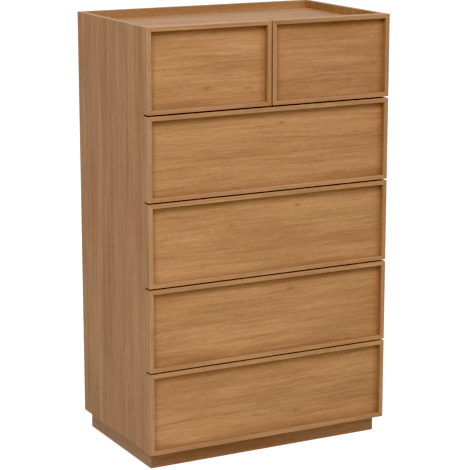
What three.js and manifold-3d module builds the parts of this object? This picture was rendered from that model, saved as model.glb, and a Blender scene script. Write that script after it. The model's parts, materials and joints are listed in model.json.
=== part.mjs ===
// Tall chest of drawers: two half-width drawers over four full-width drawers.
//
// Millimetres, +Z up. The front faces -Y, and +X is to the right of someone facing the front.
// The origin is on the floor, under the middle of the chest.

import * as THREE from 'three';
import * as BufferGeometryUtils from 'three/addons/utils/BufferGeometryUtils.js';
import Module from 'manifold-3d';

const wasm = await Module();
wasm.setup();

// ---------------------------------------------------------------- driving dimensions

// The whole chest.
const WIDTH = 800;
const DEPTH = 495;
const HEIGHT = 1312;

// Carcass of veneered board.
const BOARD = 15;
const TRAY_DEPTH = 23; // how far the top panel lies below the rim
const RIM_RAIL_HEIGHT = 80;
const BACK_THICKNESS = 3;
const BACK_INSET = 8; // from the rear edges to the back panel
const BACK_GROOVE = 6;

// Plinth under the carcass.
const PLINTH_HEIGHT = 52;
const PLINTH_SIDE_INSET = 15;
const PLINTH_REAR_INSET = 20;
const PLINTH_FRONT_INSET = 4; // from the carcass's front edge

// Drawer fronts: a frame with a panel set back in it.
const ROWS = 5;
const REVEAL = 5; // gap between neighbouring fronts
const FRONT_THICKNESS = 30;
const FRONT_STANDOFF = 1.5; // gap between a closed front and the carcass
const FRAME_BAR = 12.5;
const PANEL_THICKNESS = 12;
const PANEL_REBATE = 4;

// Drawer boxes.
const BOX_RISE = 25; // from a front's lower edge to its box
const BOX_HEIGHT = 170;
const BOX_DEPTH = 430;
const BOX_BOARD = 12;
const BOX_BOTTOM = 4;
const BOX_BOTTOM_RISE = 10; // from the lower edge of the box to its bottom
const BOX_GROOVE = 6;
const PANEL_GROOVE = 5; // the bottom's groove in the front panel

// Cabinet members of the drawer runners: steel channels, open towards the drawer.
const RUNNER_SPACE = 13; // between a drawer box and the carcass
const RUNNER_LENGTH = 400;
const RUNNER_HEIGHT = 35;
const RUNNER_WIDTH = 9.5;
const RUNNER_WALL = 1.5;
const RUNNER_INSET = 5; // from the carcass's front edge
const RUNNER_RISE = 55; // from the lower edge of the box to the runner's middle

// ---------------------------------------------------------------- derived dimensions

const frontFace = -DEPTH / 2;
const frontBack = frontFace + FRONT_THICKNESS;
const carcassFront = frontBack + FRONT_STANDOFF;
const carcassRear = DEPTH / 2;
const innerHalfWidth = WIDTH / 2 - BOARD;

const topPanelTop = HEIGHT - TRAY_DEPTH;
const topPanelUnderside = topPanelTop - BOARD;
const bottomPanelTop = PLINTH_HEIGHT + BOARD;
const rimRailFront = carcassRear - BOARD;
const rimRailUnderside = HEIGHT - RIM_RAIL_HEIGHT;
const backPanelRear = carcassRear - BACK_INSET;
const backPanelFront = backPanelRear - BACK_THICKNESS;

const frontHeight = (HEIGHT - PLINTH_HEIGHT - (ROWS - 1) * REVEAL) / ROWS;
const topRowBottom = HEIGHT - frontHeight;
const shelfTop = topRowBottom - REVEAL / 2 + BOARD / 2;
const shelfUnderside = shelfTop - BOARD;

// ---------------------------------------------------------------- finishes

const OAK_SIDE = { color: 0x9d7550, roughness: 0.55, metalness: 0 };
const OAK_TOP = { color: 0xbe9b7e, roughness: 0.5, metalness: 0 };
const OAK_FRAME = { color: 0xb08256, roughness: 0.5, metalness: 0 };
const OAK_PANEL = { color: 0xb28254, roughness: 0.55, metalness: 0 };
const OAK_PLINTH = { color: 0x82603c, roughness: 0.6, metalness: 0 };
const DRAWER_FOIL = { color: 0xcdb594, roughness: 0.6, metalness: 0 };
const HARDBOARD = { color: 0xc2ab8c, roughness: 0.7, metalness: 0 };
const RUNNER_STEEL = { color: 0xb9bcc0, roughness: 0.35, metalness: 1 };

// ---------------------------------------------------------------- solids and meshes

// The space between two corners.
function space(low, high) {
  return new THREE.Box3(new THREE.Vector3(...low), new THREE.Vector3(...high));
}

// A block that fills a space, measured from the given origin.
function block(box, origin) {
  const size = box.getSize(new THREE.Vector3());
  const offset = box.getCenter(new THREE.Vector3()).sub(origin);
  const geometry = new THREE.BoxGeometry(size.x, size.y, size.z);
  return geometry.translate(offset.x, offset.y, offset.z);
}

// Turns a closed geometry into a solid that can be cut.
function toSolid(geometry) {
  const bare = geometry.clone();
  bare.deleteAttribute('normal');
  bare.deleteAttribute('uv');
  const merged = BufferGeometryUtils.mergeVertices(bare);
  const vertProperties = new Float32Array(merged.attributes.position.array);
  const triVerts = new Uint32Array(merged.index.array);
  return new wasm.Manifold(new wasm.Mesh({ numProp: 3, vertProperties, triVerts }));
}

// Turns a solid back into a geometry.
function toGeometry(solid) {
  const { vertProperties, triVerts } = solid.getMesh();
  const geometry = new THREE.BufferGeometry();
  geometry.setAttribute('position', new THREE.BufferAttribute(vertProperties, 3));
  geometry.setIndex(new THREE.BufferAttribute(triVerts, 1));
  geometry.computeVertexNormals();
  return geometry;
}

// A named mesh with its own material.
function makeMesh(name, geometry, finish) {
  const mesh = new THREE.Mesh(geometry, new THREE.MeshStandardMaterial(finish));
  mesh.name = name;
  return mesh;
}

// A board that fills a space, less the grooves and openings cut from it.
function makeBoard(name, box, finish, cuts = []) {
  const origin = box.getCenter(new THREE.Vector3());
  let geometry = block(box, origin);
  if (cuts.length > 0) {
    let solid = toSolid(geometry);
    for (const cut of cuts) {
      solid = solid.subtract(toSolid(block(cut, origin)));
    }
    geometry = toGeometry(solid);
  }
  const mesh = makeMesh(name, geometry, finish);
  mesh.position.copy(origin);
  return mesh;
}

// ---------------------------------------------------------------- carcass

// A side panel runs from the plinth to the rim, with a groove for the back panel inside.
function makeSidePanel(name, side) {
  const outer = side * WIDTH / 2;
  const inner = side * innerHalfWidth;
  const grooveFloor = inner + side * BACK_GROOVE;
  const board = space(
    [Math.min(outer, inner), carcassFront, PLINTH_HEIGHT],
    [Math.max(outer, inner), carcassRear, HEIGHT],
  );
  const groove = space(
    [Math.min(inner, grooveFloor), backPanelFront, bottomPanelTop - BACK_GROOVE],
    [Math.max(inner, grooveFloor), backPanelRear, rimRailUnderside + BACK_GROOVE],
  );
  return makeBoard(name, board, OAK_SIDE, [groove]);
}

// The top panel lies below the rim, so the top of the chest is a shallow tray.
function makeTopPanel() {
  const board = space(
    [-innerHalfWidth, carcassFront, topPanelUnderside],
    [innerHalfWidth, rimRailFront, topPanelTop],
  );
  return makeBoard('top_panel', board, OAK_TOP);
}

// The rear rim rail closes the tray at the back and holds the back panel's upper edge.
function makeRearRimRail() {
  const board = space(
    [-innerHalfWidth, rimRailFront, rimRailUnderside],
    [innerHalfWidth, carcassRear, HEIGHT],
  );
  const groove = space(
    [-innerHalfWidth, backPanelFront, rimRailUnderside],
    [innerHalfWidth, backPanelRear, rimRailUnderside + BACK_GROOVE],
  );
  return makeBoard('rear_rim_rail', board, OAK_SIDE, [groove]);
}

function makeBottomPanel() {
  const board = space(
    [-innerHalfWidth, carcassFront, PLINTH_HEIGHT],
    [innerHalfWidth, carcassRear, bottomPanelTop],
  );
  const groove = space(
    [-innerHalfWidth, backPanelFront, bottomPanelTop - BACK_GROOVE],
    [innerHalfWidth, backPanelRear, bottomPanelTop],
  );
  return makeBoard('bottom_panel', board, OAK_SIDE, [groove]);
}

function makeBackPanel() {
  const halfWidth = innerHalfWidth + BACK_GROOVE;
  const board = space(
    [-halfWidth, backPanelFront, bottomPanelTop - BACK_GROOVE],
    [halfWidth, backPanelRear, rimRailUnderside + BACK_GROOVE],
  );
  return makeBoard('back_panel', board, HARDBOARD);
}

// The shelf under the top row carries the divider between the two top drawers.
function makeDividerShelf() {
  const board = space(
    [-innerHalfWidth, carcassFront, shelfUnderside],
    [innerHalfWidth, backPanelFront, shelfTop],
  );
  return makeBoard('divider_shelf', board, OAK_SIDE);
}

function makeCentreDivider() {
  const board = space(
    [-BOARD / 2, carcassFront, shelfTop],
    [BOARD / 2, rimRailFront, topPanelUnderside],
  );
  return makeBoard('centre_divider', board, OAK_SIDE);
}

// One plinth board, seen from above: its outer edge runs from one corner of the plinth to the
// next, and both ends are mitred.
function makePlinthBoard(name, from, to, inward) {
  const along = to.clone().sub(from).normalize().multiplyScalar(BOARD);
  const across = inward.clone().multiplyScalar(BOARD);
  const outline = new THREE.Shape([
    from,
    to,
    to.clone().sub(along).add(across),
    from.clone().add(along).add(across),
  ]);
  const geometry = new THREE.ExtrudeGeometry(outline, { depth: PLINTH_HEIGHT, bevelEnabled: false });
  return makeMesh(name, geometry, OAK_PLINTH);
}

function makePlinth() {
  const x = WIDTH / 2 - PLINTH_SIDE_INSET;
  const front = carcassFront + PLINTH_FRONT_INSET;
  const rear = carcassRear - PLINTH_REAR_INSET;
  const frontLeft = new THREE.Vector2(-x, front);
  const frontRight = new THREE.Vector2(x, front);
  const rearLeft = new THREE.Vector2(-x, rear);
  const rearRight = new THREE.Vector2(x, rear);
  const plinth = new THREE.Group();
  plinth.add(
    makePlinthBoard('plinth_front', frontLeft, frontRight, new THREE.Vector2(0, 1)),
    makePlinthBoard('plinth_right', frontRight, rearRight, new THREE.Vector2(-1, 0)),
    makePlinthBoard('plinth_rear', rearRight, rearLeft, new THREE.Vector2(0, -1)),
    makePlinthBoard('plinth_left', rearLeft, frontLeft, new THREE.Vector2(1, 0)),
  );
  return plinth;
}

// ---------------------------------------------------------------- runners

// A cabinet member: a steel channel screwed to a wall of the bay, open towards the drawer.
// toDrawer is 1 where the drawer lies on the +X side of the wall, and -1 on the other side.
function makeCabinetRunner(name, wall, toDrawer, middle) {
  const half = RUNNER_HEIGHT / 2;
  const web = toDrawer * RUNNER_WALL;
  const lip = toDrawer * RUNNER_WIDTH;
  const section = new THREE.Shape([
    new THREE.Vector2(0, -half),
    new THREE.Vector2(lip, -half),
    new THREE.Vector2(lip, -half + RUNNER_WALL),
    new THREE.Vector2(web, -half + RUNNER_WALL),
    new THREE.Vector2(web, half - RUNNER_WALL),
    new THREE.Vector2(lip, half - RUNNER_WALL),
    new THREE.Vector2(lip, half),
    new THREE.Vector2(0, half),
  ]);
  const geometry = new THREE.ExtrudeGeometry(section, { depth: RUNNER_LENGTH, bevelEnabled: false });
  const mesh = makeMesh(name, geometry, RUNNER_STEEL);
  mesh.rotation.x = Math.PI / 2;
  mesh.position.set(wall, carcassFront + RUNNER_INSET + RUNNER_LENGTH, middle);
  return mesh;
}

// ---------------------------------------------------------------- drawers

// The frame of a front: four bars round an opening, with a rebate behind for the panel.
function makeFrontFrame(name, left, right, bottom) {
  const top = bottom + frontHeight;
  const panelFace = frontBack - PANEL_THICKNESS;
  const rebate = FRAME_BAR - PANEL_REBATE;
  const outline = space([left, frontFace, bottom], [right, frontBack, top]);
  const opening = space(
    [left + FRAME_BAR, frontFace, bottom + FRAME_BAR],
    [right - FRAME_BAR, frontBack, top - FRAME_BAR],
  );
  const panelSeat = space(
    [left + rebate, panelFace, bottom + rebate],
    [right - rebate, frontBack, top - rebate],
  );
  return makeBoard(name, outline, OAK_FRAME, [opening, panelSeat]);
}

// The panel of a front, with a groove behind for the front edge of the drawer's bottom.
function makeFrontPanel(name, left, right, bottom, box) {
  const rebate = FRAME_BAR - PANEL_REBATE;
  const board = space(
    [left + rebate, frontBack - PANEL_THICKNESS, bottom + rebate],
    [right - rebate, frontBack, bottom + frontHeight - rebate],
  );
  const groove = space(
    [box.left + BOX_BOARD - BOX_GROOVE, frontBack - PANEL_GROOVE, box.floor],
    [box.right - BOX_BOARD + BOX_GROOVE, frontBack, box.floor + BOX_BOTTOM],
  );
  return makeBoard(name, board, OAK_PANEL, [groove]);
}

// A side of the box, with a groove inside for the bottom.
function makeDrawerSide(name, box, side) {
  const outer = side < 0 ? box.left : box.right;
  const inner = outer - side * BOX_BOARD;
  const grooveFloor = inner + side * BOX_GROOVE;
  const board = space(
    [Math.min(outer, inner), frontBack, box.bottom],
    [Math.max(outer, inner), frontBack + BOX_DEPTH, box.top],
  );
  const groove = space(
    [Math.min(inner, grooveFloor), frontBack, box.floor],
    [Math.max(inner, grooveFloor), frontBack + BOX_DEPTH, box.floor + BOX_BOTTOM],
  );
  return makeBoard(name, board, DRAWER_FOIL, [groove]);
}

// The back stands on the bottom, between the sides.
function makeDrawerBack(name, box) {
  const board = space(
    [box.left + BOX_BOARD, frontBack + BOX_DEPTH - BOX_BOARD, box.floor + BOX_BOTTOM],
    [box.right - BOX_BOARD, frontBack + BOX_DEPTH, box.top],
  );
  return makeBoard(name, board, DRAWER_FOIL);
}

function makeDrawerBottom(name, box) {
  const board = space(
    [box.left + BOX_BOARD - BOX_GROOVE, frontBack - PANEL_GROOVE, box.floor],
    [box.right - BOX_BOARD + BOX_GROOVE, frontBack + BOX_DEPTH, box.floor + BOX_BOTTOM],
  );
  return makeBoard(name, board, HARDBOARD);
}

// A drawer: its front spans left to right, and its box fits the bay between two walls.
function makeDrawer({ name, row, left, right, bayLeft, bayRight }) {
  const bottom = PLINTH_HEIGHT + (ROWS - 1 - row) * (frontHeight + REVEAL);
  const boxBottom = bottom + BOX_RISE;
  const box = {
    left: bayLeft + RUNNER_SPACE,
    right: bayRight - RUNNER_SPACE,
    bottom: boxBottom,
    top: boxBottom + BOX_HEIGHT,
    floor: boxBottom + BOX_BOTTOM_RISE,
  };
  const drawer = new THREE.Group();
  drawer.add(
    makeFrontFrame(`${name}_front_frame`, left, right, bottom),
    makeFrontPanel(`${name}_front_panel`, left, right, bottom, box),
    makeDrawerSide(`${name}_side_left`, box, -1),
    makeDrawerSide(`${name}_side_right`, box, 1),
    makeDrawerBack(`${name}_back`, box),
    makeDrawerBottom(`${name}_bottom`, box),
  );
  const runners = new THREE.Group();
  runners.add(
    makeCabinetRunner(`${name}_runner_left`, bayLeft, 1, boxBottom + RUNNER_RISE),
    makeCabinetRunner(`${name}_runner_right`, bayRight, -1, boxBottom + RUNNER_RISE),
  );
  return [drawer, runners];
}

// Two half-width drawers share the top row, and one full-width drawer fills each row below.
function listDrawers() {
  const topLeft = {
    name: 'drawer_top_left',
    row: 0,
    left: -WIDTH / 2,
    right: -REVEAL / 2,
    bayLeft: -innerHalfWidth,
    bayRight: -BOARD / 2,
  };
  const topRight = {
    name: 'drawer_top_right',
    row: 0,
    left: REVEAL / 2,
    right: WIDTH / 2,
    bayLeft: BOARD / 2,
    bayRight: innerHalfWidth,
  };
  const drawers = [topLeft, topRight];
  const rowNames = ['second', 'third', 'fourth', 'bottom'];
  rowNames.forEach((rowName, index) => {
    drawers.push({
      name: `drawer_${rowName}`,
      row: index + 1,
      left: -WIDTH / 2,
      right: WIDTH / 2,
      bayLeft: -innerHalfWidth,
      bayRight: innerHalfWidth,
    });
  });
  return drawers;
}

// ---------------------------------------------------------------- the chest

const carcass = new THREE.Group();
carcass.add(
  makeSidePanel('side_panel_left', -1),
  makeSidePanel('side_panel_right', 1),
  makeTopPanel(),
  makeRearRimRail(),
  makeBottomPanel(),
  makeBackPanel(),
  makeDividerShelf(),
  makeCentreDivider(),
  makePlinth(),
);

const chest = new THREE.Group();
chest.add(carcass);
for (const description of listDrawers()) {
  chest.add(...makeDrawer(description));
}

export default chest;
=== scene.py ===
"""Looks of the tall chest of drawers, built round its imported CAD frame.

Everything is in metres, in the CAD's own frame: +Z up, the front faces -Y. The CAD's boards stay
and get their materials and soft edges here. The bars of the drawer fronts, the runners' moving
members, the ball cages and the screws are made here.
"""

import json
import math
from collections import namedtuple

import bmesh
import bpy
from mathutils import Matrix, Vector

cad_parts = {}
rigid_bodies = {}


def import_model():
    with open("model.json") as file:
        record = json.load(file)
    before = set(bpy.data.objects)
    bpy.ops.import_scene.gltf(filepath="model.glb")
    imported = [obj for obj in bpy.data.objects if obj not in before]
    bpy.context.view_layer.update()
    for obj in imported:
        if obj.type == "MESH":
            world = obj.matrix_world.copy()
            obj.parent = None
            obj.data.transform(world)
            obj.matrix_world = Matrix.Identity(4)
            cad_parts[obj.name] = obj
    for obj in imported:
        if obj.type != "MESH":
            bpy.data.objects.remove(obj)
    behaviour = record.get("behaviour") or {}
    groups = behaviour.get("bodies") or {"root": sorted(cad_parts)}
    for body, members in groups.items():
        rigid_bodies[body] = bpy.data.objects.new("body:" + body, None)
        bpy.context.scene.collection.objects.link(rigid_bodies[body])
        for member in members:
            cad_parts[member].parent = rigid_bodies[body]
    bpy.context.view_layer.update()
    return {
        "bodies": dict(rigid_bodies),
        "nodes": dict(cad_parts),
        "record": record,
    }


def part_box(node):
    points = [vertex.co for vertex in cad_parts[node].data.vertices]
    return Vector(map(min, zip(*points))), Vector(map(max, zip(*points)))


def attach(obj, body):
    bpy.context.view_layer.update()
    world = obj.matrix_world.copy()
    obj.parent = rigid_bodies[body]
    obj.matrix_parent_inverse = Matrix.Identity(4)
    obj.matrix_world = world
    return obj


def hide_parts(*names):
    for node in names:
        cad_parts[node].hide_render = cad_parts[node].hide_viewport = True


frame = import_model()

MM = 0.001
DRAWERS = [body for body in frame["bodies"] if body != "carcass"]
SIDES = ("left", "right")
OUTWARD = {"left": Vector((-1, 0, 0)), "right": Vector((1, 0, 0))}  # out of a drawer's sides
FRONTWARD = Vector((0, -1, 0))
REARWARD = Vector((0, 1, 0))
UPWARD = Vector((0, 0, 1))

# ------------------------------------------------------------------ camera and view

CAMERA_AT = Vector((-2.554, -4.877, 1.885))
CAMERA_AZIMUTH = 27.71  # degrees that it is turned from +Y towards +X
CAMERA_DOWN = 12.87  # degrees that it looks down
SENSOR = 36.0
LENS = 140.2
NEAREST = 0.1
FARTHEST = 200.0
BLACK_POINT = 0.03  # the light that prints as black, which deepens the shade

# ------------------------------------------------------------------ studio

STAGE_RADIUS = 38.0
STAGE_ROUGHNESS = 0.9
STAGE_CLOUDS = 0.5  # to the metre
STAGE_MOTTLE = 1.03  # how much paler the clouds are
FLOOR_DROP = 0.2 * MM
FLOOR_WHITENESS = 0.3
FLOOR_GLOW = 0.97
BACKDROP_GLOW = 1.0
DOME_SEGMENTS = 48
DOME_RINGS = 24
ROOM_RADIUS = 30.0
ROOM_BEHIND = 0.9  # how bright the studio mirrors in gloss, behind the chest and in front of it
ROOM_IN_FRONT = 0.08
ROOM_FADE = 0.4  # it fades between these shares of its radius, in front of the chest and behind it
ROOM_DEEP = (0.01, 0.01, 0.01, 1)
ROOM_PALE = (0.02, 0.02, 0.02, 1)
SKY_ABOVE = 0.48  # soft light from above, and off the white floor
SKY_BELOW = 0.38
HORIZON = 0.1
LIGHT_AIM = Vector((0, 0, 0.7))
LIGHT_DISTANCE = 5.0
# Each softbox: degrees to the right of the front and above the floor, width and height, power.
SOFTBOXES = {
    "key": {"azimuth": -22, "elevation": 46, "size": (2.8, 1.6), "power": 87},
    "fill": {"azimuth": 30, "elevation": 20, "size": (3.4, 1.8), "power": 23},
    "overhead": {"azimuth": 150, "elevation": 60, "size": (2.8, 2.8), "power": 8},
}
BOUNCE_MIDDLE = (-1.3, -1.8, 0.01)  # where the floor is lit most strongly, in front and to the left
BOUNCE_SIDE = 3.0
BOUNCE_POWER = 8.5


def linear(red, green, blue):
    """A display colour, 0 to 255, as linear light."""
    def channel(value):
        value = value / 255
        return value / 12.92 if value <= 0.04045 else ((value + 0.055) / 1.055) ** 2.4
    return (channel(red), channel(green), channel(blue), 1.0)


# ------------------------------------------------------------------ every finish

SURFACE_IOR = 1.45
NOISE_MIDDLE = 0.5
NOISE_SPAN = (0.3, 0.7)  # the levels between which most noise lies
SEED_STEP = (3.7, 1.3, 0.71)  # from one board's wood to the next one's
FACING_LIMIT = 0.7  # a face looks in a direction when their cosine is over this
FINE_BUMP = 0.05 * MM
COARSE_BUMP = 0.1 * MM

# ------------------------------------------------------------------ oak

# How each finish of the veneer looks: the two ends of its colour, how many broad and narrow
# stripes there are to a metre across the grain and how many along it, how much it wanders, how
# deep the broad stripes are, and how far they swing between pinkish and yellowish.
OAK_LOOKS = {
    "oak_panel": {
        "pale": linear(207, 156, 109), "deep": linear(193, 143, 99),
        "bands": 75, "streaks": 170, "along": 3.5, "wave": 0.6, "depth": 1.15, "swing": 0.015,
    },
    "oak_frame": {
        "pale": linear(206, 159, 117), "deep": linear(195, 148, 107),
        "bands": 75, "streaks": 170, "along": 3.5, "wave": 0.2, "depth": 1.0, "swing": 0.015,
    },
    "oak_side": {
        "pale": linear(208, 157, 111), "deep": linear(193, 142, 99),
        "bands": 52, "streaks": 120, "along": 1.7, "wave": 0.2, "depth": 1.5, "swing": 0.03,
    },
    "oak_top": {
        "pale": linear(206, 156, 111), "deep": linear(192, 144, 101),
        "bands": 75, "streaks": 170, "along": 3.5, "wave": 0.6, "depth": 1.0, "swing": 0.02,
    },
    "oak_plinth": {
        "pale": linear(203, 155, 113), "deep": linear(189, 142, 102),
        "bands": 75, "streaks": 170, "along": 3.5, "wave": 0.2, "depth": 1.0, "swing": 0.015,
    },
}
# The layers of noise that all oak has: features to the metre along the grain and across it.
CLOUDS = {"along": 2.4, "across": 13, "detail": 3, "roughness": 0.55}
DASHES = {"along": 34, "across": 210, "roughness": 0.6}
FLECKS = {"along": 34, "across": 300, "detail": 1}
HAIRS = {"along": 45, "across": 700, "roughness": 0.6}
PORES = {"along": 85, "across": 1700, "detail": 1}
# The same for the stripes, which follow a look, as shares of its numbers.
HUES_ALONG = 0.5
HUES_ACROSS = 0.7
BROAD_ALONG = 0.7
NARROW_ALONG = 2
LINES_ALONG = 0.7
LINES_ACROSS = 0.8
LINES_DETAIL = 1
STRIPE_NOISE = {"detail": 3, "roughness": 0.6}
# Where a layer's noise sets in, and where it is full.
SLOW_SPAN = (0.32, 0.68)  # for the clouds and the hues
BROAD_SPAN = (0.28, 0.72)
LINE_SPAN = (0.56, 0.74)
FLECK_SPAN = (0.66, 0.78)
PORE_SPAN = (0.58, 0.72)
# The same, and how bright the wood is at both ends.
NARROW_SHADE = (0.26, 0.74, 0.90, 1.08)
DASH_SHADE = (0.28, 0.72, 0.94, 1.045)
HAIR_SHADE = (0.25, 0.75, 0.93, 1.05)
BAND_DEPTH = 0.065  # how much a broad stripe lightens or darkens the wood
BETWEEN_LINES = 1.015  # how bright the wood is beside its dark lines
LINE_DARKNESS = 0.11
PORE_DARKNESS = 0.2
FLECK_LIGHTNESS = 0.05
# Shading deepens the wood's colour a little: how strongly it works on red, green and blue.
SHADE_POWERS = (0.86, 1.12, 1.06)
PINKISH = (1, -0.5, 1)  # how each swing of the colour moves red, green and blue
YELLOWISH = (-1, 0.5, -1.5)
DRIFTS = {"along": 2.3, "across": 8}
RIPPLES = {"along": 11, "across": 34, "detail": 1}
GRAIN_DRIFT = 0.05  # how far the grain wanders sideways, slowly and in small ripples
GRAIN_RIPPLE = 0.006
KNOT_PARTING = 0.45  # how far the grain bends round a knot, as a share of its distance from it
KNOT_HALO_SQUEEZE = (0.3, 1, 0)  # a knot and its halo are longer along the grain than across it
KNOT_CORE_SQUEEZE = (0.75, 1, 0)
KNOT_HALO_REACH = 4  # in radii of the knot
KNOT_STREAK_REACH = 1.5
KNOT_STREAK_SHARE = 0.4  # of the core's darkness
KNOT_COLOUR = linear(128, 84, 50)
OAK_SHINE = 0.2
OAK_ROUGHNESS = (0.50, 0.42)
PORE_ROUGHNESS = 0.15
HAIR_RELIEF = 0.4  # as a share of the pores' depth
PORE_BUMP = 0.25
PORE_DEPTH = 0.1 * MM
WORN_COLOUR = linear(228, 190, 150)
WORN_STRENGTH = 0.35
WORN_ROUGHNESS = 0.1
WORN_FROM = 0.3 * MM  # an edge is fully worn up to here, and not at all past the next
WORN_TO = 1.3 * MM
WORN_WAVER = 0.3 * MM
CORNER_SHADE = (0.74, 0.70, 0.65, 1)  # painted shade: a panel is darker where it meets its frame, in the corners of its recess
# Painted tint over the shade along a panel's bottom: a little less red and a little more blue.
LOWER_SHADE_TINT = (0.95, 1.0, 1.04, 1)
INNER_SHADE = (0.89, 0.88, 0.86, 1)  # painted shade on the frame's inner faces, inside the recess
RIM_SHADE = (0.84, 0.91, 0.95, 1)  # painted shade: the inner faces round the top are darker and greyer
TOP_EDGE_HIGHLIGHT = (1.12, 1.1, 1.0, 1)  # painted highlight: a top rail's upward face is paler, as if lit from above
# How far the painted shade, and the tint along the bottom, reach into a panel past its seat.
CORNER_REACH = 27 * MM
LEFT_SHARE = 0.95  # how strongly the painted shade darkens the sides of a panel beside its top
RIGHT_SHARE = 0.3
SHARE_BLEND = 1 * MM  # one share turns into the other within this distance of the middle

# Small knots in a front's veneer: millimetres along the grain and across it from the panel's
# middle, radius, and how dark the knot is.
KNOTS = {
    "drawer_top_left_front_panel": [(-1, -62, 9, 0.55), (130, -69, 6, 0.5)],
    "drawer_top_right_front_panel": [(155, -21, 5, 0.55), (-7, -64, 7, 0.3)],
    "drawer_second_front_panel": [(41, 74, 5.5, 0.8)],
    "drawer_third_front_panel": [(98, 74, 5.5, 0.8), (-127, 34, 8, 0.4)],
    "drawer_fourth_front_panel": [(76, 72, 5.5, 0.65)],
    "drawer_bottom_front_panel": [(95, -61, 8, 0.55), (-41, -55, 6, 0.5)],
}
# Boards that are lighter or darker than the others.
BOARD_TONES = {
    "drawer_top_right_front_panel": 0.94,
    "drawer_second_front_panel": 1.01,
    "drawer_third_front_panel": 1.05,
    "drawer_fourth_front_panel": 1.02,
    "drawer_bottom_front_panel": 1.04,
    "plinth_front": 0.88,
    "plinth_left": 1.03,
}
# The same for the front faces of the fronts' bars.
BAR_TONES = {
    "drawer_top_left_top_rail": 0.93,
    "drawer_top_left_bottom_rail": 0.87,
    "drawer_top_left_left_stile": 0.94,
    "drawer_top_left_right_stile": 0.93,
    "drawer_top_right_top_rail": 0.82,
    "drawer_top_right_bottom_rail": 0.93,
    "drawer_top_right_left_stile": 0.93,
    "drawer_top_right_right_stile": 0.86,
    "drawer_second_top_rail": 0.9,
    "drawer_second_left_stile": 0.88,
    "drawer_second_right_stile": 0.87,
    "drawer_third_top_rail": 0.96,
    "drawer_third_left_stile": 1.06,
    "drawer_third_right_stile": 0.94,
    "drawer_fourth_top_rail": 0.95,
    "drawer_bottom_bottom_rail": 0.92,
    "drawer_bottom_left_stile": 0.88,
}
# The boards round the top, and the way that each one's inner face looks; that face gets the painted
# rim shade.
RIM_INWARD = {
    "rear_rim_rail": FRONTWARD,
    "side_panel_left": OUTWARD["right"],
    "side_panel_right": OUTWARD["left"],
}

# ------------------------------------------------------------------ other finishes

# Wood printed on foil: clouds and streaks, in features to the metre along the grain and across it.
PRINTED_CLOUDS = {"along": 2, "across": 18, "detail": 3}
PRINTED_STREAKS = {"along": 3, "across": 170, "detail": 3, "roughness": 0.6}
FOIL_DEEP = linear(206, 182, 148)
FOIL_PALE = linear(220, 199, 168)
FOIL_STREAK = linear(188, 160, 124)
FOIL_WORN = linear(232, 216, 190)
FOIL_CLOUD_SPAN = (0.35, 0.65)
FOIL_STREAKING = (0.45, 0.75, 0, 0.35)  # between two levels of the noise, from one share to another
FOIL_WEAR = (0.2 * MM, 0.9 * MM, 0.4, 0)  # the same between two distances from an edge
FOIL_ROUGHNESS = (0.58, 0.48)
FOIL_GRIT = {"scale": 900, "detail": 1}
FOIL_BUMP = 0.12
FIBRE_DEEP = linear(171, 134, 94)
FIBRE_PALE = linear(186, 150, 109)
FIBRE_DARK = linear(150, 112, 74)
FIBRE_SPECK = linear(120, 86, 54)
FIBRE_CLOUDS = {"scale": 7, "detail": 4, "roughness": 0.6}
FIBRES = {"scale": 900, "detail": 3, "roughness": 0.7}
FIBRE_SPECKS = {"scale": 260, "roughness": 0.6}
FIBRE_DARKENING = (0.35, 0.65, 0, 0.3)
SPECK_SPAN = (0.62, 0.72)
SPECK_STRENGTH = 0.35
FIBRE_ROUGHNESS = (0.72, 0.58)
FIBRE_BUMP = 0.3
LINING_DEEP = linear(206, 182, 148)
LINING_PALE = linear(222, 201, 170)
ZINC_DEEP = linear(176, 180, 186)
ZINC_PALE = linear(205, 208, 212)
ZINC_LINE = linear(150, 152, 158)
ZINC_MOTTLE = {"scale": 160, "detail": 3, "roughness": 0.6}
ROLLING = (900, 12, 900)  # lines to the metre along X, Y and Z: they run along the runners
ROLLING_DARKENING = (0.55, 0.75, 0, 0.3)
ZINC_ROUGHNESS = (0.28, 0.42)
ZINC_BUMP = 0.1
PLASTIC_PALE = linear(44, 45, 47)
PLASTIC_DEEP = linear(34, 35, 37)
PLASTIC_PATCHES = 60  # to the metre
PLASTIC_GRAIN = 1800
PLASTIC_ROUGHNESS = (0.45, 0.58)
PLASTIC_BUMP = 0.15

# ------------------------------------------------------------------ soft edges

BOARD_EDGE = 0.6 * MM
THIN_EDGE = 0.25 * MM  # on steel, plastic and thin board
EDGE_SEGMENTS = 2
EDGE_ANGLE = 40  # degrees, above which an edge is softened
WELD_GAP = 0.01 * MM

# ------------------------------------------------------------------ fronts

PANEL_SEAT = 4 * MM  # how far a panel runs into its frame
BAR_WIDTH = 12.5 * MM
BAR_EDGE = 0.7 * MM
MITRE_GAP = 0.05 * MM
FIRST_BAR_SEED = 101
BARS_TO_A_FRONT = 4

# ------------------------------------------------------------------ runners

MEMBER_WALL = 1.2 * MM
MEMBER_HALF_HEIGHT = 12 * MM
MEMBER_REACH = 9.2 * MM  # from the drawer's side towards the wall
MEMBER_SCREWS = (30 * MM, 160 * MM, 290 * MM)  # behind the runner's front end
MEMBER_SCREW_RADIUS = 3.6 * MM
MEMBER_SCREW_HEIGHT = 1.5 * MM
CAGE_GAP = 1.9 * MM  # from the bay's wall to the cage
CAGE_WALL = 0.8 * MM
CAGE_HALF_HEIGHT = 14.4 * MM
CAGE_REACH = 6.9 * MM
CAGE_START = 6 * MM  # behind the runner's front end
BALLS_IN_ROW = 8
BALL_PITCH = 11.5 * MM
BALL_RADIUS = 1.85 * MM
BALL_RISE = 14 * MM
BALL_FROM_WALL = 6.2 * MM
BALL_SEGMENTS = 12
BALL_RINGS = 8

# ------------------------------------------------------------------ fixings

TOUCH_GAP = 0.05 * MM
RECESS_STEPS = 16
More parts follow.
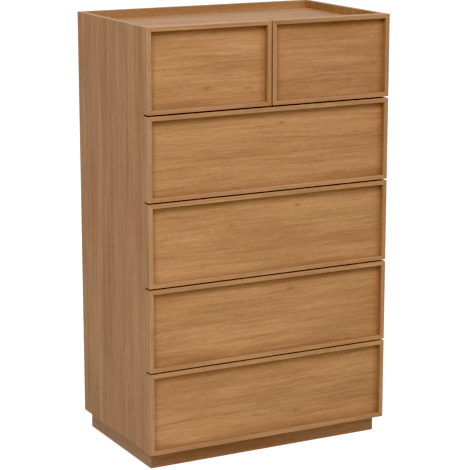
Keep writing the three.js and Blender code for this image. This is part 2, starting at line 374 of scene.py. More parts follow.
# Share of the radius and share of the height, from a fixing's rim to its crown.
SCREW_PROFILE = [(1.0, 0.0), (0.88, 0.62), (0.62, 1.0)]
CAM_PROFILE = [(1.0, 0.0), (1.0, 0.7), (0.93, 1.0)]
# Share of the radius of the cross recess: an arm's end, its root, and the corner between arms.
RECESS = (0.5, 0.2, 0.15, 0.2)
RECESS_TAPER = 0.7  # how wide the recess still is at the foot of its walls
RECESS_WALL_FOOT = 0.35  # share of the height
RECESS_PIT = 0.3
CAM_RADIUS = 7 * MM
CAM_HEIGHT = 0.5 * MM
CAM_BEHIND_FRONT = 24 * MM
CAM_RISES = (20 * MM, 148 * MM)
BOX_SCREW_RISES = (24 * MM, 140 * MM)
BOX_SCREW_RADIUS = 3 * MM
BOX_SCREW_HEIGHT = 1.1 * MM
BACK_SCREWS = 5
BACK_SCREW_RADIUS = 3.5 * MM
BACK_SCREW_HEIGHT = 1.6 * MM


# ================================================================== camera, stage and light


def make_camera():
    data = bpy.data.cameras.new("camera")
    data.sensor_width = SENSOR
    data.lens = LENS
    data.clip_start = NEAREST
    data.clip_end = FARTHEST
    camera = bpy.data.objects.new("camera", data)
    camera.location = CAMERA_AT
    camera.rotation_euler = (
        math.radians(90 - CAMERA_DOWN),
        0,
        math.radians(-CAMERA_AZIMUTH),
    )
    bpy.context.scene.collection.objects.link(camera)
    bpy.context.scene.camera = camera


def set_view():
    view = bpy.context.scene.view_settings
    view.view_transform = "Standard"
    view.use_curve_mapping = True
    view.curve_mapping.black_level = (BLACK_POINT, BLACK_POINT, BLACK_POINT)


def show_only(piece, to_camera=False, to_gloss=False):
    """A glowing stage piece that lights nothing: the sky and the softboxes do that."""
    piece.visible_camera = to_camera
    piece.visible_glossy = to_gloss
    piece.visible_diffuse = False
    piece.visible_shadow = False
    piece.data.materials[0].cycles.emission_sampling = "NONE"


def make_floor():
    half = STAGE_RADIUS
    mesh = bpy.data.meshes.new("floor")
    corners = [(-half, -half, 0), (half, -half, 0), (half, half, 0), (-half, half, 0)]
    mesh.from_pydata(corners, [], [(0, 1, 2, 3)])
    mesh.materials.append(stage_material("studio_floor", FLOOR_WHITENESS, FLOOR_GLOW))
    floor = bpy.data.objects.new("floor", mesh)
    floor.location.z = -FLOOR_DROP
    bpy.context.scene.collection.objects.link(floor)
    show_only(floor, to_camera=True)


def make_dome(name, radius, material):
    bm = bmesh.new()
    bmesh.ops.create_uvsphere(bm, u_segments=DOME_SEGMENTS, v_segments=DOME_RINGS, radius=radius)
    mesh = bpy.data.meshes.new(name)
    bm.to_mesh(mesh)
    bm.free()
    mesh.materials.append(material)
    dome = bpy.data.objects.new(name, mesh)
    bpy.context.scene.collection.objects.link(dome)
    return dome


def make_backdrop():
    """A white surround for the camera, and the room that gloss mirrors: white behind, dim in front."""
    white = stage_material("studio_backdrop", 0.0, BACKDROP_GLOW)
    backdrop = make_dome("backdrop", STAGE_RADIUS, white)
    show_only(backdrop, to_camera=True)
    room = make_dome("room", ROOM_RADIUS, room_material("studio_room"))
    show_only(room, to_gloss=True)


def make_sky():
    """Soft light from all round, a little weaker from below the horizon."""
    world = bpy.data.worlds.new("studio")
    world.use_nodes = True
    nodes = world.node_tree.nodes
    links = world.node_tree.links
    background = nodes["Background"]
    background.inputs["Color"].default_value = (1, 1, 1, 1)
    height = nodes.new("ShaderNodeSeparateXYZ")
    links.new(nodes.new("ShaderNodeTexCoord").outputs["Generated"], height.inputs[0])
    strength = nodes.new("ShaderNodeMapRange")
    strength.interpolation_type = "SMOOTHSTEP"
    strength.inputs["From Min"].default_value = -HORIZON
    strength.inputs["From Max"].default_value = HORIZON
    strength.inputs["To Min"].default_value = SKY_BELOW
    strength.inputs["To Max"].default_value = SKY_ABOVE
    links.new(height.outputs["Z"], strength.inputs["Value"])
    links.new(strength.outputs[0], background.inputs["Strength"])
    bpy.context.scene.world = world


def make_softbox(name, azimuth, elevation, size, power):
    """A soft light on the chest, so many degrees to the right of the front and above the floor."""
    turn = math.radians(azimuth)
    rise = math.radians(elevation)
    away = Vector((math.sin(turn) * math.cos(rise), -math.cos(turn) * math.cos(rise), math.sin(rise)))
    data = bpy.data.lights.new(name, "AREA")
    data.shape = "RECTANGLE"
    data.size, data.size_y = size
    data.energy = power
    light = bpy.data.objects.new(name, data)
    light.location = LIGHT_AIM + away * LIGHT_DISTANCE
    light.rotation_euler = away.to_track_quat("Z", "Y").to_euler()
    bpy.context.scene.collection.objects.link(light)


def make_floor_bounce():
    """The key light's patch on the floor, which lifts the lower part of the chest."""
    data = bpy.data.lights.new("floor_bounce", "AREA")
    data.size = BOUNCE_SIDE
    data.energy = BOUNCE_POWER
    light = bpy.data.objects.new("floor_bounce", data)
    light.location = BOUNCE_MIDDLE
    light.rotation_euler = (math.pi, 0, 0)
    light.visible_camera = False
    light.visible_glossy = False
    bpy.context.scene.collection.objects.link(light)


def make_lights():
    make_sky()
    make_floor_bounce()
    for name, settings in SOFTBOXES.items():
        make_softbox(name, **settings)


# ================================================================== shader helper


class Shader:
    """One material's node tree, with a short call for each kind of node that repeats."""

    def __init__(self, name):
        self.material = bpy.data.materials.new(name)
        self.material.use_nodes = True
        self.nodes = self.material.node_tree.nodes
        self.links = self.material.node_tree.links
        self.surface = self.nodes["Principled BSDF"]

    def add(self, kind, inputs=None, **settings):
        node = self.nodes.new(kind)
        for key, value in settings.items():
            setattr(node, key, value)
        for key, value in (inputs or {}).items():
            self.put(node.inputs[key], value)
        return node

    def put(self, socket, value):
        """Links a socket to another one, or sets it to a plain value."""
        if isinstance(value, bpy.types.NodeSocket):
            self.links.new(value, socket)
        else:
            socket.default_value = value

    def math(self, operation, a, b=0.0):
        return self.add("ShaderNodeMath", {0: a, 1: b}, operation=operation).outputs[0]

    def times(self, a, b):
        return self.math("MULTIPLY", a, b)

    def vector(self, operation, a, b=(0, 0, 0)):
        node = self.add("ShaderNodeVectorMath", {0: a, 1: b}, operation=operation)
        return node.outputs["Vector"]

    def measure(self, operation, a, b=(0, 0, 0)):
        """A vector operation that gives one number."""
        node = self.add("ShaderNodeVectorMath", {0: a, 1: b}, operation=operation)
        return node.outputs["Value"]

    def combine(self, x, y, z):
        return self.add("ShaderNodeCombineXYZ", {"X": x, "Y": y, "Z": z}).outputs[0]

    def separate(self, vector):
        return self.add("ShaderNodeSeparateXYZ", {"Vector": vector}).outputs

    def coordinates(self, kind):
        return self.add("ShaderNodeTexCoord").outputs[kind]

    def noise(self, vector, stretch, detail=2.0, roughness=0.5):
        """Noise from 0 to 1, with so many features to the metre along each axis."""
        scaled = self.vector("MULTIPLY", vector, stretch)
        inputs = {"Vector": scaled, "Scale": 1.0, "Detail": detail, "Roughness": roughness}
        return self.add("ShaderNodeTexNoise", inputs).outputs["Fac"]

    def grain(self, wood, along, across, detail=2.0, roughness=0.5):
        """Noise with so many features to the metre along the grain, and so many across it."""
        return self.noise(wood, (along, across, across), detail, roughness)

    def speckle(self, vector, scale, detail=2.0, roughness=0.5):
        """Noise with the same number of features to the metre in every direction."""
        return self.noise(vector, (scale, scale, scale), detail, roughness)

    def smooth(self, value, low, high, to_low=0.0, to_high=1.0):
        """to_low where value is under low, to_high where it is over high, and smooth between."""
        inputs = {
            "Value": value, "From Min": low, "From Max": high, "To Min": to_low, "To Max": to_high,
        }
        return self.add("ShaderNodeMapRange", inputs, interpolation_type="SMOOTHSTEP").outputs[0]

    def vary(self, noise, low=0.0, high=1.0):
        """Goes from low to high over the levels between which most noise lies."""
        return self.smooth(noise, *NOISE_SPAN, low, high)

    def mix(self, factor, a, b, blend="MIX"):
        node = self.add("ShaderNodeMix", data_type="RGBA", blend_type=blend)
        self.put(node.inputs["Factor"], factor)
        self.put(node.inputs[6], a)
        self.put(node.inputs[7], b)
        return node.outputs[2]

    def mix_vectors(self, factor, a, b):
        node = self.add("ShaderNodeMix", data_type="VECTOR")
        self.put(node.inputs["Factor"], factor)
        self.put(node.inputs[4], a)
        self.put(node.inputs[5], b)
        return node.outputs[1]

    def tinted(self, colour, tint):
        return self.mix(1.0, colour, tint, "MULTIPLY")

    def tinted_where(self, colour, mask, overlay_tint):
        """The colour, tinted where the mask is 1."""
        return self.mix(mask, colour, self.tinted(colour, overlay_tint))

    def bump(self, height, strength, distance):
        inputs = {"Height": height, "Strength": strength, "Distance": distance}
        return self.add("ShaderNodeBump", inputs).outputs[0]

    def glow(self, strength):
        """Makes the surface a dull light source."""
        self.surface.inputs["Emission Color"].default_value = (1, 1, 1, 1)
        self.put(self.surface.inputs["Emission Strength"], strength)
        self.surface.inputs["Specular IOR Level"].default_value = 0.0

    def finish(self, colour, roughness, normal=None, metallic=0.0):
        self.put(self.surface.inputs["Base Color"], colour)
        self.put(self.surface.inputs["Roughness"], roughness)
        if normal is not None:
            self.put(self.surface.inputs["Normal"], normal)
        self.surface.inputs["Metallic"].default_value = metallic
        self.surface.inputs["IOR"].default_value = SURFACE_IOR
        return self.material


# ================================================================== places on a board

# A point on a board: its offset from the board's middle, the same with X along the grain, Y
# across it and Z through it, and its place in the wood that the grain's noise is made from.
Place = namedtuple("Place", ["offset", "turned", "wood"])


def board_place(s, box, seed):
    """The grain runs along the board's longest side, and along the ends as on an edge band.

    The seed moves each board to its own wood.
    """
    low, high = box
    size = high - low
    through, across, along = sorted(range(3), key=lambda axis: size[axis])
    offset = s.vector("SUBTRACT", s.coordinates("Object"), (low + high) / 2)
    parts = s.separate(offset)
    turned = s.combine(parts[along], parts[across], parts[through])
    banded = s.combine(parts[across], parts[along], parts[through])
    facing = s.math("ABSOLUTE", s.separate(s.coordinates("Normal"))[along])
    is_end = s.math("GREATER_THAN", facing, FACING_LIMIT)
    laid = s.mix_vectors(is_end, turned, banded)
    wood = s.vector("ADD", laid, [seed * step for step in SEED_STEP])
    return Place(offset, turned, wood)


def depths(s, offset, box):
    """How far a point lies inside the board's box along X, Y and Z."""
    half = (box[1] - box[0]) / 2
    return s.separate(s.vector("SUBTRACT", half, s.vector("ABSOLUTE", offset)))


def edge_distance(s, offset, box):
    """How far a point on a board's surface is from the nearest edge of the board."""
    x, y, z = depths(s, offset, box)
    nearer = s.math("MINIMUM", x, y)
    farther = s.math("MAXIMUM", x, y)
    return s.math("MAXIMUM", nearer, s.math("MINIMUM", farther, z))


def facing_mask(s, direction):
    """1 on the faces that look in a direction, and 0 on the others."""
    facing = s.measure("DOT_PRODUCT", s.coordinates("Normal"), direction)
    return s.math("GREATER_THAN", facing, FACING_LIMIT)


# ================================================================== oak

Layers = namedtuple("Layers", [
    "clouds", "hues", "broad", "narrow", "lines", "dashes", "flecks", "hairs", "pores",
])


def knot_masks(s, turned, knots):
    """For each knot: its halo with how far across the grain a point is from it, and its core."""
    halos = []
    cores = []
    for along, across, radius, darkness in knots:
        from_knot = s.vector("SUBTRACT", turned, (along * MM, across * MM, 0))
        wide = s.measure("LENGTH", s.vector("MULTIPLY", from_knot, KNOT_HALO_SQUEEZE))
        tight = s.measure("LENGTH", s.vector("MULTIPLY", from_knot, KNOT_CORE_SQUEEZE))
        halo = s.smooth(wide, 0, radius * KNOT_HALO_REACH * MM, 1, 0)
        core = s.smooth(tight, 0, radius * MM, darkness, 0)
        streak = s.smooth(wide, 0, radius * KNOT_STREAK_REACH * MM, darkness * KNOT_STREAK_SHARE, 0)
        halos.append((halo, s.separate(from_knot)[1]))
        cores.append(s.math("MAXIMUM", core, streak))
    return halos, cores


def bent_grain(s, wood, wave, halos):
    """The wood with a grain that drifts from side to side, ripples and parts round each knot."""
    drift = s.math("SUBTRACT", s.grain(wood, **DRIFTS), NOISE_MIDDLE)
    ripple = s.math("SUBTRACT", s.grain(wood, **RIPPLES), NOISE_MIDDLE)
    bend = s.math("ADD", s.times(drift, GRAIN_DRIFT * wave), s.times(ripple, GRAIN_RIPPLE * wave))
    for halo, side in halos:
        bend = s.math("ADD", bend, s.times(s.times(halo, side), -KNOT_PARTING))
    return s.vector("ADD", wood, s.combine(0.0, bend, 0.0))


def corner_shade_masks(s, offset, box):
    """How much painted shade a panel gets along its top and sides, and how much painted tint along its
    bottom.
    """
    x, _, z = depths(s, offset, box)
    sides = s.smooth(x, PANEL_SEAT, PANEL_SEAT + CORNER_REACH, 1, 0)
    ends = s.smooth(z, PANEL_SEAT, PANEL_SEAT + CORNER_REACH, 1, 0)
    to_right, _, to_top = s.separate(offset)
    share = s.smooth(to_right, -SHARE_BLEND, SHARE_BLEND, LEFT_SHARE, RIGHT_SHARE)
    above = s.math("GREATER_THAN", to_top, 0.0)
    upper = s.math("MAXIMUM", s.times(sides, share), s.times(ends, above))
    lower = s.times(ends, s.math("SUBTRACT", 1.0, above))
    return upper, lower


def oak_layers(s, grain, look):
    """The noise that makes the oak's figure, from broad to fine."""
    bands = look["bands"]
    streaks = look["streaks"]
    along = look["along"]
    lines = s.grain(grain, along * LINES_ALONG, streaks * LINES_ACROSS, LINES_DETAIL)
    return Layers(
        clouds=s.grain(grain, **CLOUDS),
        hues=s.grain(grain, along * HUES_ALONG, bands * HUES_ACROSS),
        broad=s.grain(grain, along * BROAD_ALONG, bands, **STRIPE_NOISE),
        narrow=s.grain(grain, along * NARROW_ALONG, streaks, **STRIPE_NOISE),
        lines=s.smooth(lines, *LINE_SPAN),
        dashes=s.grain(grain, **DASHES),
        flecks=s.smooth(s.grain(grain, **FLECKS), *FLECK_SPAN),
        hairs=s.grain(grain, **HAIRS),
        pores=s.smooth(s.grain(grain, **PORES), *PORE_SPAN),
    )


def oak_shades(s, layers, look, tone):
    """How much of its red, green and blue the wood keeps: each layer lightens or darkens it."""
    depth = BAND_DEPTH * look["depth"]
    shade = s.smooth(layers.broad, *BROAD_SPAN, (1 - depth) * tone, (1 + depth) * tone)
    shade = s.times(shade, s.smooth(layers.narrow, *NARROW_SHADE))
    shade = s.times(shade, s.math("SUBTRACT", BETWEEN_LINES, s.times(layers.lines, LINE_DARKNESS)))
    shade = s.times(shade, s.smooth(layers.dashes, *DASH_SHADE))
    shade = s.times(shade, s.smooth(layers.hairs, *HAIR_SHADE))
    shade = s.times(shade, s.math("SUBTRACT", 1.0, s.times(layers.pores, PORE_DARKNESS)))
    shade = s.times(shade, s.math("ADD", 1.0, s.times(layers.flecks, FLECK_LIGHTNESS)))
    return s.combine(*[s.math("POWER", shade, power) for power in SHADE_POWERS])


def oak_colour(s, layers, look, tone):
    """The colour varies slowly, swings between pinkish and yellowish, and takes the shades."""
    pinkish, yellowish = [
        [1 + look["swing"] * move for move in moves] + [1] for moves in (PINKISH, YELLOWISH)
    ]
    colour = s.mix(s.smooth(layers.clouds, *SLOW_SPAN), look["deep"], look["pale"])
    colour = s.tinted(colour, s.mix(s.smooth(layers.hues, *SLOW_SPAN), pinkish, yellowish))
    return s.tinted(colour, oak_shades(s, layers, look, tone))


def oak(name, slot, box, seed, knots=(), tone=1.0, tones_and_painted_light=()):
    """Oiled oak veneer with its grain along the board, and paler at the edges.

    A front panel gets painted shade towards its frame, in its recess. The tints are pairs of a
    direction and the tint of the faces that look that way; they carry painted shade, painted
    highlights and the bars' own tones.
    """
    s = Shader(name)
    look = OAK_LOOKS[slot]
    place = board_place(s, box, seed)
    halos, cores = knot_masks(s, place.turned, knots)
    layers = oak_layers(s, bent_grain(s, place.wood, look["wave"], halos), look)

    colour = oak_colour(s, layers, look, tone)
    for core in cores:
        colour = s.mix(core, colour, KNOT_COLOUR)
    # Painted shade in a panel's recess, darker towards its frame, strongest along its top and left
    # side.
    if slot == "oak_panel":
        upper, lower = corner_shade_masks(s, place.offset, box)
        colour = s.tinted_where(colour, upper, CORNER_SHADE)
        # A painted cooler tint over the shade along the panel's bottom.
        colour = s.tinted_where(colour, lower, LOWER_SHADE_TINT)
    # Tints by facing: painted shade, painted highlights and the bars' own tones.
    for direction, overlay_tint in tones_and_painted_light:
        colour = s.tinted_where(colour, facing_mask(s, direction), overlay_tint)

    waver = s.smooth(layers.hairs, 0, 1, -WORN_WAVER, WORN_WAVER)
    edge = s.math("ADD", edge_distance(s, place.offset, box), waver)
    worn = s.smooth(edge, WORN_FROM, WORN_TO, WORN_STRENGTH, 0)
    colour = s.mix(worn, colour, WORN_COLOUR)

    roughness = s.vary(layers.narrow, *OAK_ROUGHNESS)
    roughness = s.math("ADD", roughness, s.times(layers.pores, PORE_ROUGHNESS))
    roughness = s.math("ADD", roughness, s.times(worn, WORN_ROUGHNESS))
    height = s.math("SUBTRACT", s.times(layers.hairs, HAIR_RELIEF), layers.pores)
    s.surface.inputs["Specular IOR Level"].default_value = OAK_SHINE
    return s.finish(colour, roughness, s.bump(height, PORE_BUMP, PORE_DEPTH))


# ================================================================== other materials


def foil(name, box, seed):
    """Pale printed wood foil on the drawer boxes."""
    s = Shader(name)
    place = board_place(s, box, seed)
    clouds = s.grain(place.wood, **PRINTED_CLOUDS)
    streaks = s.grain(place.wood, **PRINTED_STREAKS)
    grit = s.speckle(place.wood, **FOIL_GRIT)
    edge = edge_distance(s, place.offset, box)
    colour = s.mix(s.smooth(clouds, *FOIL_CLOUD_SPAN), FOIL_DEEP, FOIL_PALE)
    colour = s.mix(s.smooth(streaks, *FOIL_STREAKING), colour, FOIL_STREAK)
    colour = s.mix(s.smooth(edge, *FOIL_WEAR), colour, FOIL_WORN)
    roughness = s.vary(streaks, *FOIL_ROUGHNESS)
    return s.finish(colour, roughness, s.bump(grit, FOIL_BUMP, FINE_BUMP))


def hardboard(name, box, seed, inward):
    """Thin board of matted brown fibres, with a pale wood foil on the face that looks inward."""
    s = Shader(name)
    place = board_place(s, box, seed)
    clouds = s.speckle(place.wood, **FIBRE_CLOUDS)
    fibres = s.speckle(place.wood, **FIBRES)
    specks = s.smooth(s.speckle(place.wood, **FIBRE_SPECKS), *SPECK_SPAN)
    streaks = s.grain(place.wood, **PRINTED_STREAKS)
    bare = s.mix(s.vary(clouds), FIBRE_DEEP, FIBRE_PALE)
    bare = s.mix(s.smooth(fibres, *FIBRE_DARKENING), bare, FIBRE_DARK)
    bare = s.mix(s.times(specks, SPECK_STRENGTH), bare, FIBRE_SPECK)
    lining = s.mix(s.vary(streaks), LINING_DEEP, LINING_PALE)
    colour = s.mix(facing_mask(s, inward), bare, lining)
    roughness = s.vary(fibres, *FIBRE_ROUGHNESS)
    return s.finish(colour, roughness, s.bump(fibres, FIBRE_BUMP, COARSE_BUMP))


def zinc(name):
    """Rolled steel with a bright zinc plating: faint rolling lines and a soft mottle."""
    s = Shader(name)
    place = s.coordinates("Object")
    rolled = s.noise(place, ROLLING)
    mottle = s.speckle(place, **ZINC_MOTTLE)
    colour = s.mix(s.vary(mottle), ZINC_DEEP, ZINC_PALE)
    colour = s.mix(s.smooth(rolled, *ROLLING_DARKENING), colour, ZINC_LINE)
    roughness = s.vary(mottle, *ZINC_ROUGHNESS)
    return s.finish(colour, roughness, s.bump(rolled, ZINC_BUMP, FINE_BUMP), metallic=1.0)


def moulded_plastic(name, pale, deep):
    """Plastic with a fine moulded grain, in two close shades."""
    s = Shader(name)
    place = s.coordinates("Object")
    grain = s.speckle(place, PLASTIC_GRAIN)
    patches = s.speckle(place, PLASTIC_PATCHES)
    colour = s.mix(s.vary(patches), pale, deep)
    roughness = s.vary(grain, *PLASTIC_ROUGHNESS)
    return s.finish(colour, roughness, s.bump(grain, PLASTIC_BUMP, FINE_BUMP))


def stage_material(name, whiteness, glow):
    """A plain pale stage that glows, so that it stays white under a soft light."""
    s = Shader(name)
    cloud = s.speckle(s.coordinates("Object"), STAGE_CLOUDS)
    paler_share = whiteness * STAGE_MOTTLE
    pale = (whiteness, whiteness, whiteness, 1)
    paler = (paler_share, paler_share, paler_share, 1)
    s.glow(glow)
    return s.finish(s.mix(cloud, pale, paler), STAGE_ROUGHNESS)


def room_material(name):
    """The studio as gloss mirrors it: it glows white behind the chest and fades towards the front."""
    s = Shader(name)
    place = s.coordinates("Object")
    behind = s.math("DIVIDE", s.separate(place)[1], ROOM_RADIUS)
    cloud = s.speckle(place, STAGE_CLOUDS)
    s.glow(s.smooth(behind, -ROOM_FADE, ROOM_FADE, ROOM_IN_FRONT, ROOM_BEHIND))
    return s.finish(s.mix(cloud, ROOM_DEEP, ROOM_PALE), STAGE_ROUGHNESS)


# ================================================================== mesh helpers


def add_bevel(piece, width):
    """Softens a piece's sharp edges. CAD faces come apart at their edges, so they're joined first."""
    weld = piece.modifiers.new("weld", "WELD")
    weld.merge_threshold = WELD_GAP
    bevel = piece.modifiers.new("soft_edges", "BEVEL")
    bevel.width = width
    bevel.segments = EDGE_SEGMENTS
    bevel.limit_method = "ANGLE"
    bevel.angle_limit = math.radians(EDGE_ANGLE)
    bevel.harden_normals = False


def new_piece(name, bm, body, material):
    """Makes an object from bm that rides on a body."""
    bmesh.ops.recalc_face_normals(bm, faces=bm.faces)
    mesh = bpy.data.meshes.new(name)
    bm.to_mesh(mesh)
    bm.free()
    piece = bpy.data.objects.new(name, mesh)
    bpy.context.scene.collection.objects.link(piece)
    mesh.materials.append(material)
    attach(piece, body)
    return piece


def add_prism(bm, start, end):
    """Joins two rings of points with faces, and closes both ends."""
    first = [bm.verts.new(point) for point in start]
    last = [bm.verts.new(point) for point in end]
    count = len(first)
    for i in range(count):
        j = (i + 1) % count
        bm.faces.new((first[i], first[j], last[j], last[i]))
    bm.faces.new(list(reversed(first)))
    bm.faces.new(last)


def outer_face(low, high, side):
    """The X of a box's face on one side of the chest."""
    return low.x if side == "left" else high.x


# ================================================================== CAD boards


def board_finish(node, slot, seed, steel):
    """A CAD node's material and the width of its soft edges."""
    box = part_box(node)
    if slot == "runner_steel":
        return steel, THIN_EDGE
    if slot == "hardboard":
        inward = FRONTWARD if node == "back_panel" else UPWARD
        return hardboard(node + "_board", box, seed, inward), THIN_EDGE
    if slot == "drawer_foil":
        return foil(node + "_foil", box, seed), BOARD_EDGE
    veneer = oak(
        node + "_oak", slot, box, seed,
        knots=KNOTS.get(node, ()),
        tone=BOARD_TONES.get(node, 1.0),
        # painted shade on the inner face of a board round the top
        tones_and_painted_light=[(RIM_INWARD[node], RIM_SHADE)] if node in RIM_INWARD else [],
    )
    return veneer, BOARD_EDGE


def dress_boards(steel):
    """Gives every CAD node that stays its own material and soft edges."""
    slots = {row["node"]: row["material_slot"] for row in frame["record"]["subparts"]}
    for seed, (node, piece) in enumerate(sorted(frame["nodes"].items())):
        material, edge = board_finish(node, slots[node], seed, steel)
        piece.data.materials.clear()
        piece.data.materials.append(material)
        add_bevel(piece, edge)


# ================================================================== front frames


def bar_corners(low, high):
    """Each bar of a front's frame, with the outer corners that it runs between, in X and Z."""
    return {
        "top_rail": ((low.x, high.z), (high.x, high.z)),
        "bottom_rail": ((low.x, low.z), (high.x, low.z)),
        "left_stile": ((low.x, low.z), (low.x, high.z)),
        "right_stile": ((high.x, low.z), (high.x, high.z)),
    }


def bar_section(low, high, panel_low):
    """A bar's section: how far inward, and how far back, each of its corners lies."""
    seat = panel_low.x - low.x
    return [
        (0, low.y),
        (BAR_WIDTH, low.y),
        (BAR_WIDTH, panel_low.y),
        (seat, panel_low.y),
        (seat, high.y),
        (0, high.y),
    ]


def mitred_ring(corner, inward, along, section):
    """The section at one end of a bar, cut at 45 degrees through the frame's corner."""
    ring = []
    for inset, depth in section:
        flat = corner + inward * inset + along * (inset + MITRE_GAP)
        ring.append((flat.x, depth, flat.y))
    return ring


def box_of(points):
    """The lowest and highest corners of some points."""
    return (
        Vector([min(point[axis] for point in points) for axis in range(3)]),
        Vector([max(point[axis] for point in points) for axis in range(3)]),
    )


def bar_tones_and_painted_light(name, part, inward):
    """Painted shade on a bar's inner face, its front's own tone, and a painted highlight on a top
    rail.
    """
    tone = BAR_TONES.get(name, 1.0)
    # Painted shade on the inner face; the front face keeps its own tone.
    tones_and_painted_light = [((inward.x, 0, inward.y), INNER_SHADE), (FRONTWARD, (tone, tone, tone, 1))]
    # A painted highlight on the top rail's upward face, as if lit from above.
    if part == "top_rail":
        tones_and_painted_light.append((UPWARD, TOP_EDGE_HIGHLIGHT))
    return tones_and_painted_light


def make_front_bars(drawer):
    """The four mitred bars of a drawer's front, in place of the CAD's one ring."""
    node = drawer + "_front_frame"
    low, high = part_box(node)
    panel_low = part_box(drawer + "_front_panel")[0]
    section = bar_section(low, high, panel_low)
    middle = Vector(((low.x + high.x) / 2, (low.z + high.z) / 2))
    first_seed = FIRST_BAR_SEED + BARS_TO_A_FRONT * DRAWERS.index(drawer)
    for index, (part, (start, end)) in enumerate(bar_corners(low, high).items()):
        start = Vector(start)
        end = Vector(end)
        along = (end - start).normalized()
        inward = Vector((-along.y, along.x))
        if inward.dot(middle - start) < 0:
            inward = -inward
        first = mitred_ring(start, inward, along, section)
        last = mitred_ring(end, inward, -along, section)
        bm = bmesh.new()
        add_prism(bm, first, last)
        name = drawer + "_" + part
        # Its tones, with painted shade on its inner face and a painted highlight on a top rail.
        tones_and_painted_light = bar_tones_and_painted_light(name, part, inward)
        box = box_of(first + last)
        material = oak(name + "_oak", "oak_frame", box, first_seed + index, tones_and_painted_light=tones_and_painted_light)
        bar = new_piece(name, bm, drawer, material)
        add_bevel(bar, BAR_EDGE)
        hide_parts(node)


# ================================================================== fixings


def add_fixing(bm, centre, outward, radius, height, profile):
    """A round head with a cross recess, on a face that looks outward."""
    across = outward.orthogonal().normalized()
    up = outward.cross(across)
    # Each level: its height, and its radius at each step of a quarter turn.
    levels = [(rise, (share,) * len(RECESS)) for share, rise in profile]
    levels.append((1.0, RECESS))
    levels.append((RECESS_WALL_FOOT, [share * RECESS_TAPER for share in RECESS]))
    rings = []
    for rise, shares in levels:
        ring = []
        for step in range(RECESS_STEPS):
            angle = 2 * math.pi * step / RECESS_STEPS
            spread = shares[step % len(RECESS)] * radius
            flat = across * math.cos(angle) * spread + up * math.sin(angle) * spread
            ring.append(bm.verts.new(centre + flat + outward * rise * height))
        rings.append(ring)
    for outer, inner in zip(rings, rings[1:]):
        for step in range(RECESS_STEPS):
            after = (step + 1) % RECESS_STEPS
            bm.faces.new((outer[step], outer[after], inner[after], inner[step]))
    foot = bm.verts.new(centre)
    pit = bm.verts.new(centre + outward * RECESS_PIT * height)
    for ring, middle in ((rings[0], foot), (rings[-1], pit)):
        for step in range(RECESS_STEPS):
            bm.faces.new((ring[step], ring[(step + 1) % RECESS_STEPS], middle))


def make_box_fixings(drawer, side, steel):
    """Two cam locks that pull the front on, and two screws that hold the back."""
    low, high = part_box(drawer + "_side_" + side)
    back_low, back_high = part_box(drawer + "_back")
    outward = OUTWARD[side]
    face = outer_face(low, high, side) + outward.x * TOUCH_GAP
    bm = bmesh.new()
    for rise in CAM_RISES:
        centre = Vector((face, low.y + CAM_BEHIND_FRONT, low.z + rise))
        add_fixing(bm, centre, outward, CAM_RADIUS, CAM_HEIGHT, CAM_PROFILE)
    for rise in BOX_SCREW_RISES:
        centre = Vector((face, (back_low.y + back_high.y) / 2, low.z + rise))
        add_fixing(bm, centre, outward, BOX_SCREW_RADIUS, BOX_SCREW_HEIGHT, SCREW_PROFILE)
    new_piece(drawer + "_fixings_" + side, bm, drawer, steel)


def make_back_screws(steel):
    """Screws through the back panel into the divider shelf."""
    low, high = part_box("back_panel")
    shelf_low, shelf_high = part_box("divider_shelf")
    level = (shelf_low.z + shelf_high.z) / 2
    bm = bmesh.new()
    for index in range(BACK_SCREWS):
        share = (index + 0.5) / BACK_SCREWS
        centre = Vector((low.x + (high.x - low.x) * share, high.y + TOUCH_GAP, level))
        add_fixing(bm, centre, REARWARD, BACK_SCREW_RADIUS, BACK_SCREW_HEIGHT, SCREW_PROFILE)
    new_piece("back_screws", bm, "carcass", steel)


# ================================================================== runners


def channel_section(base, outward, reach, half_height, wall, middle):
    """The corners of a channel's section, in X and Z.

    Its web stands on base, and its mouth looks outward: -1 or 1, along X.
    """
    web = base + outward * wall
    lip = base + outward * reach
    low = middle - half_height
    high = middle + half_height
    return [
        (base, low),
        (lip, low),
        (lip, low + wall),
        (web, low + wall),
        (web, high - wall),
        (lip, high - wall),
        (lip, high),
        (base, high),
    ]


def add_channel(bm, section, front, rear):
    add_prism(bm, [(x, front, z) for x, z in section], [(x, rear, z) for x, z in section])


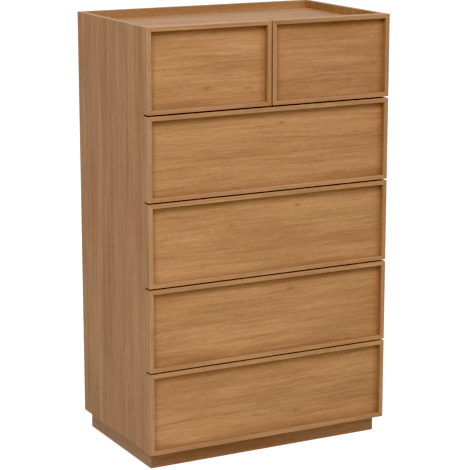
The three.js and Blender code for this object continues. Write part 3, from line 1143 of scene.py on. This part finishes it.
def make_member(drawer, side, steel):
    """The drawer's member of a runner, with the screws that hold it to the drawer."""
    low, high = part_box(drawer + "_runner_" + side)
    box_low, box_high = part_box(drawer + "_side_" + side)
    middle = (low.z + high.z) / 2
    outward = OUTWARD[side]
    base = outer_face(box_low, box_high, side) + outward.x * TOUCH_GAP
    section = channel_section(
        base, outward.x, MEMBER_REACH, MEMBER_HALF_HEIGHT, MEMBER_WALL, middle,
    )
    bm = bmesh.new()
    add_channel(bm, section, low.y, high.y)
    for depth in MEMBER_SCREWS:
        centre = Vector((base + outward.x * MEMBER_WALL, low.y + depth, middle))
        add_fixing(bm, centre, outward, MEMBER_SCREW_RADIUS, MEMBER_SCREW_HEIGHT, SCREW_PROFILE)
    member = new_piece(drawer + "_member_" + side, bm, drawer, steel)
    add_bevel(member, THIN_EDGE)


def make_cage(drawer, side, plastic):
    """The cage that keeps the balls apart, in the cabinet's member of a runner."""
    low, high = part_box(drawer + "_runner_" + side)
    middle = (low.z + high.z) / 2
    outward = OUTWARD[side].x
    base = outer_face(low, high, side) - outward * CAGE_GAP
    section = channel_section(base, -outward, CAGE_REACH, CAGE_HALF_HEIGHT, CAGE_WALL, middle)
    front = low.y + CAGE_START
    bm = bmesh.new()
    add_channel(bm, section, front, front + BALLS_IN_ROW * BALL_PITCH)
    cage = new_piece(drawer + "_cage_" + side, bm, "carcass", plastic)
    add_bevel(cage, THIN_EDGE)


def make_balls(drawer, side, steel):
    """Two rows of balls, above and below the drawer's member."""
    low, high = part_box(drawer + "_runner_" + side)
    middle = (low.z + high.z) / 2
    across = outer_face(low, high, side) - OUTWARD[side].x * BALL_FROM_WALL
    bm = bmesh.new()
    for index in range(BALLS_IN_ROW):
        depth = low.y + CAGE_START + (index + 0.5) * BALL_PITCH
        for rise in (-BALL_RISE, BALL_RISE):
            bmesh.ops.create_uvsphere(
                bm,
                u_segments=BALL_SEGMENTS,
                v_segments=BALL_RINGS,
                radius=BALL_RADIUS,
                matrix=Matrix.Translation((across, depth, middle + rise)),
            )
    for face in bm.faces:
        face.smooth = True
    new_piece(drawer + "_balls_" + side, bm, "carcass", steel)


# ================================================================== the scene

make_camera()
set_view()
make_floor()
make_backdrop()
make_lights()
zinc_plate = zinc("zinc_plate")
black_plastic = moulded_plastic("black_plastic", PLASTIC_PALE, PLASTIC_DEEP)
dress_boards(zinc_plate)
make_back_screws(zinc_plate)
for drawer_name in DRAWERS:
    make_front_bars(drawer_name)
    for side_name in SIDES:
        make_member(drawer_name, side_name, zinc_plate)
        make_cage(drawer_name, side_name, black_plastic)
        make_balls(drawer_name, side_name, zinc_plate)
        make_box_fixings(drawer_name, side_name, zinc_plate)
